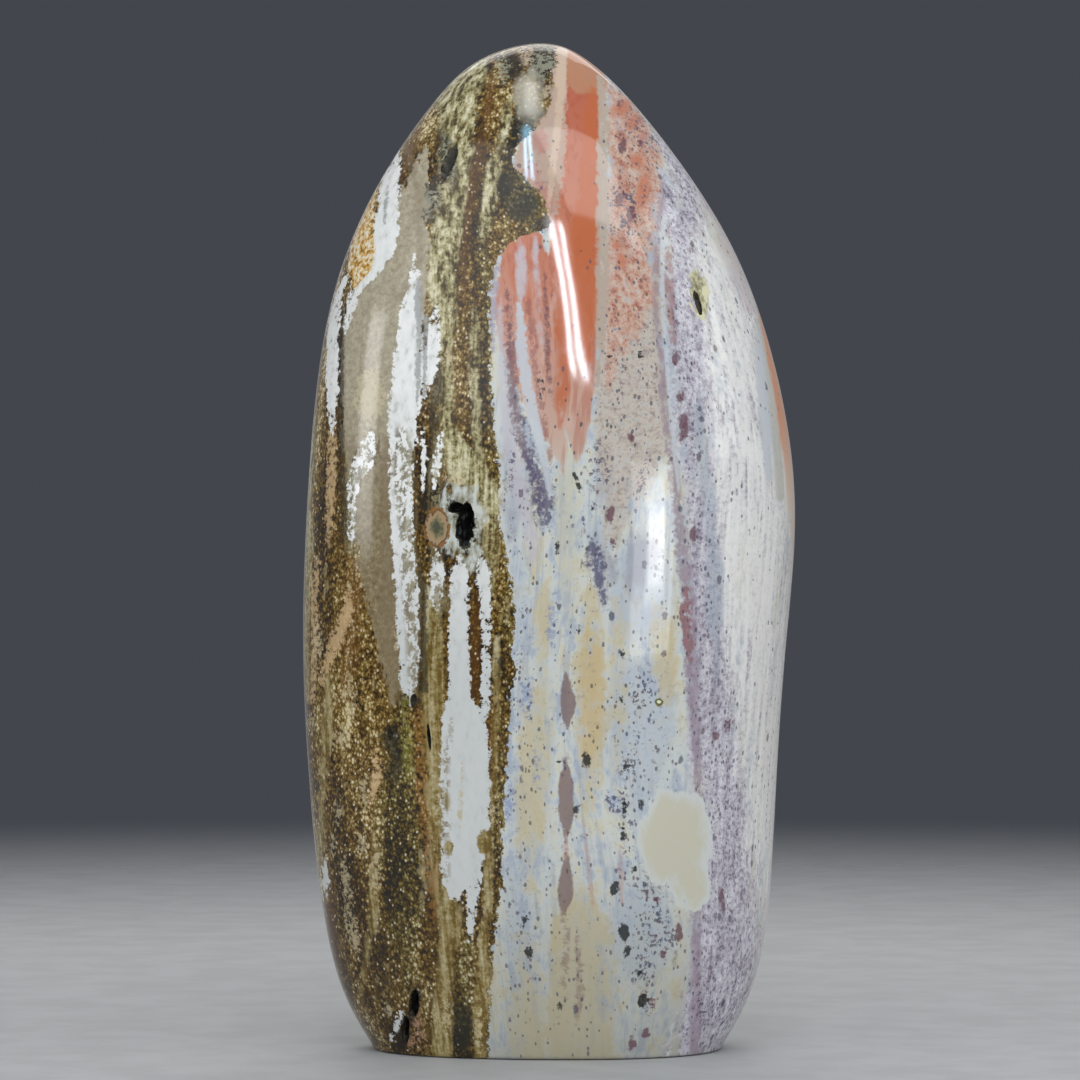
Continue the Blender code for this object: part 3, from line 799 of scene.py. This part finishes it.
class Shader:
    """A material's nodes, made in the order in which they are read."""

    def __init__(self, name):
        self.material = bpy.data.materials.new(name)
        self.material.use_nodes = True
        self.tree = self.material.node_tree
        self.surface = self.tree.nodes["Principled BSDF"]
        self.wobbles = {}
        self.packs = []
        self.split = None
        self.found = {}

    def node(self, kind, inputs, **settings):
        return add_node(self.tree, kind, inputs, **settings)

    def math(self, operation, *values):
        return self.node("Math", dict(enumerate(values)), operation=operation).outputs[0]

    def times(self, value, factor):
        return self.math("MULTIPLY", value, factor)

    def scaled(self, value, factor, more):
        """value times factor, plus more."""
        return self.math("MULTIPLY_ADD", value, factor, more)

    def attribute(self, name):
        return self.node("Attribute", {}, attribute_name=name).outputs["Vector"]

    def field(self, name):
        """A field of the mesh. The names read are packed in threes, in order."""
        if name not in self.found:
            if not self.packs or len(self.packs[-1]) == 3:
                vector = self.attribute("rock_%d" % len(self.packs))
                self.split = self.node("SeparateXYZ", {0: vector})
                self.packs.append([])
            self.found[name] = self.split.outputs[len(self.packs[-1])]
            self.packs[-1].append(name)
        return self.found[name]

    def stretched(self, place, upright):
        """A place with only a share of its height, so that what reads it runs up and down."""
        inputs = {0: place, 1: (1, 1, upright)}
        return self.node("VectorMath", inputs, operation="MULTIPLY").outputs[0]

    def noise(self, place, scale, detail, roughness):
        inputs = {"Vector": place, "Scale": scale, "Detail": detail, "Roughness": roughness}
        return self.node("TexNoise", inputs).outputs["Fac"]

    def blend(self, fine, coarse):
        """Coarse noise with some fine noise on it, around the same middle."""
        part = self.scaled(coarse, COARSE_SHARE, 0.5 * (1 - COARSE_SHARE - FINE_SHARE))
        return self.scaled(fine, FINE_SHARE, part)

    def cells(self, place, scale):
        """The distance to the nearest cell's middle and three random numbers of that cell."""
        made = self.node("TexVoronoi", {"Vector": place, "Scale": scale, "Randomness": 1.0})
        parts = self.node("SeparateColor", {0: made.outputs["Color"]}).outputs
        return made.outputs["Distance"], parts[0], parts[1], parts[2]

    def rise(self, value, low, high):
        """0 below low, 1 above high and a smooth rise between."""
        inputs = {0: value, 1: low, 2: high}
        return self.node("MapRange", inputs, interpolation_type="SMOOTHSTEP").outputs[0]

    def below(self, rows):
        """0 above the first of two pixel rows, 1 below the second and a smooth rise between."""
        return self.rise(self.field("row"), *rows)

    def mask(self, name, wobble, ragged, soft, strength=1.0):
        """strength inside a field and 0 outside. A noise moves the edge by up to about
        ragged pixels each way, and the edge is twice soft wide. A socket can be the strength."""
        moved = self.scaled(self.wobbles[wobble], 4 * ragged, self.field(name))
        inputs = {0: moved, 1: 2 * ragged - soft, 2: 2 * ragged + soft, 4: strength}
        return self.node("MapRange", inputs, interpolation_type="SMOOTHSTEP").outputs[0]

    def mix(self, low, high, amount):
        """A mix of two colours, which are sockets or colour codes."""
        low, high = (colour(c) if isinstance(c, str) else c for c in (low, high))
        return self.node("Mix", {0: amount, 6: low, 7: high}, data_type="RGBA").outputs[2]

    def ramp(self, amount, *stops):
        """Colours along a scale, from pairs of a position and a colour code."""
        made = self.node("ValToRGB", {0: amount})
        elements = made.color_ramp.elements
        elements.remove(elements[1])
        elements[0].position = stops[0][0]
        elements[0].color = colour(stops[0][1])
        for position, code in stops[1:]:
            elements.new(position).color = colour(code)
        return made.outputs["Color"]

    def lay(self, base, name, paint, *edge):
        """Lays a colour over the base inside a field. The edge is what mask asks for."""
        return self.mix(base, paint, self.mask(name, *edge))

    def lay_all(self, base, rows):
        """Lays fields over a base in turn."""
        for row in rows:
            base = self.lay(base, *row)
        return base


# Paint over a kind of rock: the field, its colour, the noise that moves its edge, how far
# in pixels, half the edge's width in pixels and the strength
MILK_PAINT = (
    ("blue_cloud", "b0bbc9", "mid", 20, 8, 0.6),
    ("grey_cloud", "989aaa", "mid", 18, 8, 0.65),
    ("cream_band", "c6c1a9", "long", 14, 8, 0.6),
    ("cream", "c5b997", "mid", 22, 9, 0.75),
    ("yellow", "c9b07e", "mid", 14, 6, 0.6),
    ("pale_band", "cdd2d1", "mid", 8, 3, 0.65),
    ("blue_deep", "7f90b8", "grain", 14, 3, 0.6),
)
RIGHT_PAINT = (
    ("mauve_edge", "b5a4aa", "long", 12, 7, 0.6),
    ("blue_band", "a0acb9", "mid", 12, 5, 0.55),
    ("edge_grey", "b9b7ae", "mid", 2, 2, 0.8),
)
ORANGE_PAINT = (
    ("cap_rock", "bba08f", "grain", 5, 2, 0.95),
    ("pink_cap", "b98478", "edge", 6, 3, 0.85),
    ("orange_top", "b78463", "mid", 3, 2, 0.85),
    ("deep", "be6336", "long", 8, 5, 0.85),
    ("cream_line", "cfb6a0", "fine", 2, 1.5, 0.9),
    ("greige", "b6a596", "fine", 3, 1.5, 0.95),
    ("lobe_pale", "c3bfc8", "long", 9, 4, 0.8),
    ("lilac_rim", "a7a1b2", "edge", 6, 2, 0.9),
)
LINE_PAINT = (
    ("plum", "8e7888", "edge", 9, 3, 0.68),
    ("red", "8e504c", "edge", 11, 3, 0.6),
    ("maroon", "6a4452", "edge", 9, 4, 0.75),
    ("mauve_core", "575574", "edge", 16, 5, 0.85),
    ("pale", "c3c8cf", "edge", 4, 1.5, 0.9),
    ("lens", "836d6a", "edge", 2, 1.2, 0.88),
    ("brown_thread", "917d6e", "edge", 8, 2, 0.65),
    ("pink_thread", "bd968c", "edge", 4, 2, 0.6),
)
SPOT_PAINT = (
    ("plum_spot", "653e4b", "edge", 4, 1.0, 0.85),
    ("dark_spot", "14181a", "edge", 4, 0.9, 0.92),
)
BROWN_PAINT = (
    ("chert_edge", "83735a", "mid", 5, 5, 0.6),
    ("dark_line", "2c2411", "edge", 6, 1.5, 0.8),
    ("tan", "ccac80", "grain", 6, 2, 0.8),
    ("rust", "8a5b1e", "grain", 12, 4, 0.6),
    ("cap_grey", "b4b0a0", "mid", 8, 5, 0.7),
    ("cap_cream", "bba993", "grain", 10, 3, 0.75),
    ("cap_dark", "1c1c12", "grain", 9, 3, 0.85),
    # Painted glints on the dark crystals of the cap
    ("cap_painted_glints", "b3b39c", "grain", 26, 3, 0.5),
    # Pale spots, and the painted highlight of the glow on the left flank
    ("pale_spots_and_painted_glow", "cfc19c", "grain", 10, 4, 0.6),
)
LAST_BROWN_PAINT = (
    ("grey_core", "989b99", "edge", 3, 1, 0.85),
    ("yellow_thread", "b5a865", "edge", 5, 1.5, 0.6),
    ("lime", "787522", "grain", 8, 3, 0.55),
    ("peach_lip", "b08a70", "grain", 12, 3, 0.65),
    ("crevice", "15110b", "grain", 10, 2, 0.92),
)

# Specks: cells in a metre, their largest radius as a share of a cell, how many of the cells
# have one where they are dense, and their strength
SPECKS = ((480, 0.26, 0.36, 0.75), (1250, 0.38, 0.75, 0.75))

# The material's noises: scale, detail and roughness
GRAIN = (950, 3, 0.75)
FINE = (620, 2, 0.65)
VEINS = (700, 2, 0.7)

# Crystals in a metre of druse, where their shade starts, and what the broad cloud, the
# grain, the crystal's own chance and the distance from its middle add to it
CRYSTALS = 1900
SHADE_START = -0.93
SHADE_SHARES = (1.9, 1.3, 0.3, -0.45)

# How much of a height counts in a noise, so that what it marks runs up and down
FINE_HEIGHT = 0.55
VEIN_HEIGHT = 0.04
CRYSTAL_HEIGHT = 0.75
SPECK_HEIGHT = 0.6

# Pixel rows between which something changes down the stone, and the row where the salmon
# rock's scale of colours ends
# Rows over which the milky rock turns duller and takes painted shade towards the foot
MILK_DULLS_AND_SHADES = (820, 1080)
EDGE_PALES = (400, 520)
STRIPES_BEGIN = (180, 360)
# Rows over which painted shade darkens the druse towards the foot
DRUSE_PAINTED_SHADE = (780, 1040)
KHAKI_YELLOWS = (450, 700)
CHERT_DARKENS = (390, 520)
SALMON_END = 500

# Gloss: the roughness of the right side, what the brown rock and the pits add to it, and
# the index of refraction of polished quartz
RIGHT_ROUGHNESS = 0.06
BROWN_ROUGHER = 0.05
PITS_ROUGHER = 0.5
QUARTZ_IOR = 1.54


def milk(sh, veins):
    """Cloudy white rock with pale threads that run up and down, duller and with painted shade towards the
    foot.
    """
    base = sh.ramp(
        sh.wobbles["mid"], (0.40, "adb6c2"), (0.455, "c1c8cc"), (0.5, "cfd2cd"),
        (0.55, "d2cfbd"), (0.62, "cec3a5"),
    )
    threads = sh.times(sh.rise(veins, 0.55, 0.66), 0.5)
    base = sh.mix(base, "a2a8b3", threads)
    base = sh.mix(base, "d6d7cf", sh.times(sh.rise(veins, 0.45, 0.36), 0.5))
    base = sh.lay_all(base, MILK_PAINT)
    # Partly a duller tone of the rock, partly painted shade towards the foot
    low = sh.times(sh.below(MILK_DULLS_AND_SHADES), 0.5)
    return sh.mix(base, "7e7c6e", low)


def lilac_and_pearl(sh, base, grainy, veins):
    """Banded lilac rock and the streaky white rock beside it."""
    mixed = sh.scaled(grainy, 0.75, sh.times(veins, 0.35))
    lilac = sh.ramp(
        mixed, (0.41, "776c7c"), (0.47, "968e9c"), (0.53, "afaab5"), (0.6, "cac7d0"),
        (0.68, "e2e0e5"),
    )
    base = sh.lay(base, "lilac", lilac, "long", 22, 10)
    streaked = sh.scaled(grainy, 0.5, sh.times(veins, 0.6))
    pearl = sh.ramp(
        streaked, (0.40, "a6a0a8"), (0.46, "cac8cb"), (0.52, "dfdddc"), (0.62, "ecebe8")
    )
    base = sh.lay(base, "pearl", pearl, "long", 28, 13, 0.95)
    base = sh.lay_all(base, RIGHT_PAINT)
    tan = sh.mix("d08a62", "d2bfae", sh.below(EDGE_PALES))
    return sh.lay(base, "edge_orange", tan, "mid", 2, 1.5)


def peach(sh, base, grainy):
    """Peach and cream rock, full of flecks."""
    cream = sh.ramp(
        grainy, (0.32, "8f8583"), (0.42, "b3a8a0"), (0.5, "c1b5a8"), (0.6, "c7c2ba"),
        (0.7, "cfd4d6"),
    )
    base = sh.lay(base, "cream_speckled", cream, "mid", 18, 8)
    warm = sh.ramp(
        sh.wobbles["edge"], (0.36, "945a56"), (0.44, "b98572"), (0.52, "c7a593"),
        (0.59, "cdb9ad"), (0.65, "d3cccb"),
    )
    base = sh.lay(base, "peach", warm, "mid", 16, 7)
    return sh.lay(base, "blotch", "c26a40", "edge", 6, 3, 0.75)


def orange(sh, base, veins):
    """Orange and salmon rock that turns pale downwards."""
    salmon = sh.ramp(
        sh.times(sh.field("row"), 1 / SALMON_END), (0.16, "b4604a"), (0.3, "bd6d50"),
        (0.5, "c47c62"), (0.7, "c69482"), (0.86, "c7a797"), (0.94, "cbbaae"),
    )
    stripes = sh.times(sh.rise(sh.wobbles["long"], 0.48, 0.62), 0.6)
    stripes = sh.times(stripes, sh.below(STRIPES_BEGIN))
    salmon = sh.mix(salmon, "d2b2a4", stripes)
    fibres = sh.times(sh.rise(veins, 0.5, 0.62), 0.4)
    salmon = sh.mix(salmon, "a9502f", fibres)
    base = sh.lay(base, "lobe", salmon, "fine", 3, 2)
    base = sh.lay(base, "orange", salmon, "long", 3, 1.6)
    return sh.lay_all(base, ORANGE_PAINT)


def specks(sh, base, place):
    """Dark specks in two sizes, clusters of dots and dust, most where rock is speckled."""
    density = sh.field("specks")
    for scale, size, share, strength in SPECKS:
        distance, chance, tint, wide = sh.cells(sh.stretched(place, SPECK_HEIGHT), scale)
        dense = sh.math("LESS_THAN", chance, sh.times(density, share))
        radius = sh.scaled(wide, 0.6 * size, 0.4 * size)
        radius = sh.scaled(sh.wobbles["grain"], 0.5, radius)
        spot = sh.rise(sh.math("SUBTRACT", radius, distance), 0.2, 0.3)
        speck = sh.ramp(tint, (0.1, "3a4058"), (0.4, "545468"), (0.7, "68505a"), (0.9, "55564e"))
        amount = sh.times(sh.times(dense, spot), strength)
        base = sh.mix(base, speck, amount)
    crowd = sh.mask("cluster", "mid", 8, 4, sh.rise(sh.wobbles["grain"], 0.535, 0.58))
    navy = sh.ramp(sh.wobbles["fine"], (0.45, "3f425c"), (0.55, "5d4a5c"))
    base = sh.mix(base, navy, sh.times(crowd, 0.8))
    dust = sh.times(sh.rise(sh.wobbles["grain"], 0.57, 0.66), density)
    return sh.mix(base, "626274", sh.times(dust, 0.7))


def druse(sh, place, grainy):
    """Brown crystals packed tight, with dark gaps, painted glints, pale clumps and painted shade towards
    the foot.
    """
    broad = sh.field("broad")
    distance, chance, tint, _ = sh.cells(sh.stretched(place, CRYSTAL_HEIGHT), CRYSTALS)
    shade = SHADE_START
    for part, share in zip((broad, grainy, chance, distance), SHADE_SHARES):
        shade = sh.scaled(part, share, shade)
    brown = sh.ramp(
        shade, (0.25, "170d01"), (0.42, "382502"), (0.56, "5b410a"), (0.72, "7c6124"),
        (0.88, "ab9560"), (1.0, "dccfa6"),
    )
    olive = sh.ramp(
        shade, (0.25, "0d0a01"), (0.42, "2b2104"), (0.56, "4f400f"), (0.72, "74632a"),
        (0.88, "a69a68"), (1.0, "dcd6b4"),
    )
    rock = sh.lay(brown, "green", olive, "mid", 12, 7, 0.9)
    rock = sh.lay(rock, "reddish", "6d4310", "mid", 10, 6, 0.5)
    clump = sh.times(sh.rise(sh.wobbles["mid"], 0.585, 0.64), 0.5)
    rock = sh.mix(rock, "b5a47a", clump)
    # Painted shade: the druse darkens towards the foot
    low = sh.times(sh.below(DRUSE_PAINTED_SHADE), 0.35)
    rock = sh.mix(rock, "2a1f06", low)
    # Painted glints: bright cream dots on a few crystals stand in for their sparkle
    glint = sh.times(sh.rise(chance, 0.86, 0.91), sh.rise(distance, 0.5, 0.22))
    return sh.mix(rock, "e2dcc6", sh.times(glint, tint))


def brown_rock(sh, place, grainy, veins):
    """The left of the stone: druse with khaki, chert, amber and white in it."""
    rock = druse(sh, place, grainy)
    khaki = sh.scaled(grainy, 0.7, sh.scaled(veins, 0.9, -0.3))
    khaki = sh.ramp(
        khaki, (0.36, "40341a"), (0.43, "72663f"), (0.5, "a0976b"), (0.57, "bdb58c"),
        (0.68, "e2dcbc"),
    )
    low = sh.below(KHAKI_YELLOWS)
    khaki = sh.mix(khaki, sh.mix(khaki, "86691f", 0.5), low)
    rock = sh.lay(rock, "khaki", khaki, "mid", 8, 3, 0.92)
    height = sh.below(CHERT_DARKENS)
    upper = sh.ramp(grainy, (0.3, "978b76"), (0.5, "aea48d"), (0.7, "c3baa4"))
    lower = sh.ramp(grainy, (0.3, "675739"), (0.5, "867756"), (0.7, "a49778"))
    rock = sh.lay(rock, "chert", sh.mix(upper, lower, height), "fine", 5, 1.5)
    rock = sh.lay_all(rock, BROWN_PAINT)
    halo = sh.ramp(sh.wobbles["fine"], (0.36, "757662"), (0.5, "afb0a0"), (0.62, "d2d6d2"))
    rock = sh.lay(rock, "halo", halo, "fine", 8, 4, 0.9)
    amber = sh.ramp(
        sh.wobbles["grain"], (0.35, "8a5a10"), (0.45, "cb962f"), (0.53, "e6cd94"), (0.6, "eeeadf")
    )
    white = sh.ramp(sh.wobbles["fine"], (0.3, "cccec9"), (0.42, "e8e9e6"), (0.6, "f3f3f1"))
    white = sh.mix(white, "c3c6c5", sh.times(low, 0.75))
    rock = sh.lay(rock, "white", white, "edge", 6, 0.8)
    rock = sh.lay(rock, "amber", amber, "edge", 6, 1.5)
    rock = sh.lay(rock, "bump", khaki, "edge", 4, 1.0)
    holes = sh.rise(sh.wobbles["edge"], 0.53, 0.48)
    flecks = sh.mask("white_dots", "mid", 4, 3, sh.times(holes, 0.8))
    rock = sh.mix(rock, sh.mix("6f6247", khaki, sh.wobbles["mid"]), flecks)
    rock = sh.lay_all(rock, LAST_BROWN_PAINT)
    share = sh.scaled(sh.wobbles["edge"], 1.4, sh.field("eye_share"))
    eye = sh.ramp(
        sh.math("SUBTRACT", share, 0.7), (0.3, "4e503f"), (0.46, "7c7456"), (0.6, "a38a66"),
        (0.8, "a88f70"), (0.88, "573311"), (0.98, "8a6236"),
    )
    return sh.lay(rock, "eye", eye, "edge", 4, 0.8)


def line_pits(sh, base, grainy):
    """Dark crystals that line the pits, with painted shade that deepens further in."""
    sunk = sh.field("sunk")
    walls = sh.ramp(
        grainy, (0.35, "0d0b07"), (0.5, "2a2416"), (0.6, "4d4732"), (0.7, "87887a")
    )
    # Painted shade: the walls darken to near black deeper in the pits
    walls = sh.mix(walls, "0a0806", sh.rise(sunk, 1.5, 7))
    return sh.mix(base, walls, sh.rise(sunk, 0.4, 1.4))


def egg_and_rings(sh, base):
    """The cream oval low on the right, the greenish pocket and the small ring."""
    egg = sh.lay("cfd3d0", "egg_yolk", "c9c4ae", "mid", 10, 6, 0.85)
    base = sh.lay(base, "egg", egg, "mid", 9, 1.5)
    pocket = sh.ramp(sh.wobbles["fine"], (0.4, "55532c"), (0.5, "99946a"), (0.6, "cfcca4"))
    base = sh.lay(base, "pocket", pocket, "fine", 4, 1.5)
    ring = sh.ramp(sh.field("ring_share"), (0.4, "e2e4cc"), (0.55, "57551f"), (0.85, "7c7840"))
    return sh.lay(base, "ring", ring, "grain", 0.5, 0.6)


def make_jasper():
    """The stone's material, and the names of the fields that it reads, in threes."""
    sh = Shader("polished_jasper")
    place = sh.attribute("place")
    grainy = sh.noise(place, *GRAIN)
    fine = sh.noise(sh.stretched(place, FINE_HEIGHT), *FINE)
    sh.wobbles = {
        "grain": grainy,
        "fine": fine,
        "edge": sh.scaled(grainy, 0.6, sh.times(fine, 0.4)),
        "mid": sh.blend(fine, sh.field("middling")),
        "long": sh.blend(fine, sh.field("long")),
    }
    veins = sh.noise(sh.stretched(place, VEIN_HEIGHT), *VEINS)

    base = milk(sh, veins)
    base = lilac_and_pearl(sh, base, grainy, veins)
    base = peach(sh, base, grainy)
    base = orange(sh, base, veins)
    base = sh.lay_all(base, LINE_PAINT)
    base = specks(sh, base, place)
    base = sh.lay_all(base, SPOT_PAINT)
    base = egg_and_rings(sh, base)

    rock = brown_rock(sh, place, grainy, veins)
    border = sh.mask("brown", "edge", 7, 0.8)
    base = sh.mix(base, rock, border)
    base = line_pits(sh, base, grainy)

    rough = sh.scaled(border, BROWN_ROUGHER, RIGHT_ROUGHNESS)
    rough = sh.scaled(sh.rise(sh.field("sunk"), 0.5, 2), PITS_ROUGHER, rough)
    sh.tree.links.new(base, sh.surface.inputs["Base Color"])
    sh.tree.links.new(rough, sh.surface.inputs["Roughness"])
    sh.surface.inputs["IOR"].default_value = QUARTZ_IOR
    return sh.material, sh.packs


def add_floor():
    """The pale floor, as a stage that isn't part of the stone."""
    bm = bmesh.new()
    bmesh.ops.create_circle(bm, cap_ends=True, segments=FLOOR_SIDES, radius=FLOOR_RADIUS)
    mesh = bpy.data.meshes.new("floor")
    bm.to_mesh(mesh)
    bm.free()
    floor = bpy.data.objects.new("floor", mesh)
    floor.location.z = -FLOOR_DROP
    sh = Shader("pale_floor")
    place = sh.node("TexCoord", {}).outputs["Object"]
    length = sh.node("VectorMath", {0: place}, operation="LENGTH").outputs["Value"]
    tint = sh.ramp(sh.noise(place, *FLOOR_GRAIN), (0.4, "a8a9aa"), (0.6, "b0b1b2"))
    sh.tree.links.new(tint, sh.surface.inputs["Base Color"])
    sh.surface.inputs["Roughness"].default_value = FLOOR_ROUGHNESS
    sh.tree.links.new(sh.rise(length, *FLOOR_FADE), sh.surface.inputs["Alpha"])
    mesh.materials.append(sh.material)
    bpy.context.scene.collection.objects.link(floor)


def add_camera():
    """A camera that stands in front of the stone and looks straight back."""
    camera = bpy.data.cameras.new("camera")
    camera.sensor_width = SENSOR
    camera.lens = SENSOR * FOCAL_PIXELS / FRAME
    holder = bpy.data.objects.new("camera", camera)
    holder.location = CAMERA_PLACE
    holder.rotation_euler = (math.radians(90), 0, 0)
    bpy.context.scene.collection.objects.link(holder)
    bpy.context.scene.camera = holder


def add_lamp(name, azimuth, elevation, distance, width, height, radiance, tint):
    """A soft panel that faces LIGHT_AIM."""
    lamp = bpy.data.lights.new(name, "AREA")
    lamp.shape = "RECTANGLE"
    lamp.size = width
    lamp.size_y = height
    lamp.energy = radiance * math.pi * width * height
    lamp.color = tint
    holder = bpy.data.objects.new(name, lamp)
    a, e = math.radians(azimuth), math.radians(elevation)
    out = Vector((math.sin(a) * math.cos(e), -math.cos(a) * math.cos(e), math.sin(e)))
    holder.location = LIGHT_AIM + out * distance
    holder.rotation_euler = (-out).to_track_quat("-Z", "Y").to_euler()
    bpy.context.scene.collection.objects.link(holder)


def add_world():
    """Soft light from all round, and the backdrop behind the stone."""
    world = bpy.data.worlds.new("studio")
    world.use_nodes = True
    tree = world.node_tree
    around = tree.nodes["Background"]
    place = add_node(tree, "TexCoord", {}).outputs["Generated"]
    up = add_node(tree, "SeparateXYZ", {0: place}).outputs["Z"]
    strength = add_node(tree, "MapRange", {0: up, 1: -1.0, 2: 1.0, 3: AROUND[0], 4: AROUND[1]})
    around.inputs["Color"].default_value = (*AROUND_COLOUR, 1)
    tree.links.new(strength.outputs[0], around.inputs["Strength"])
    backdrop = add_node(tree, "Background", {"Color": (*BACKDROP, 1)})
    seen = add_node(tree, "LightPath", {}).outputs["Is Camera Ray"]
    chosen = add_node(tree, "MixShader", {0: seen, 1: around.outputs[0], 2: backdrop.outputs[0]})
    tree.links.new(chosen.outputs[0], tree.nodes["World Output"].inputs["Surface"])
    bpy.context.scene.world = world


def main():
    """The stage first, then the stone with its material and the fields that it reads."""
    add_camera()
    add_world()
    for name, lamp in LAMPS.items():
        add_lamp(name, *lamp)
    add_floor()
    stone, skin = make_stone()
    material, packs = make_jasper()
    add_fields(stone.data, skin, packs)
    stone.data.materials.clear()
    stone.data.materials.append(material)
    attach(stone, "root")
    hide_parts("stone")
    bpy.context.scene.view_settings.view_transform = "Standard"


main()
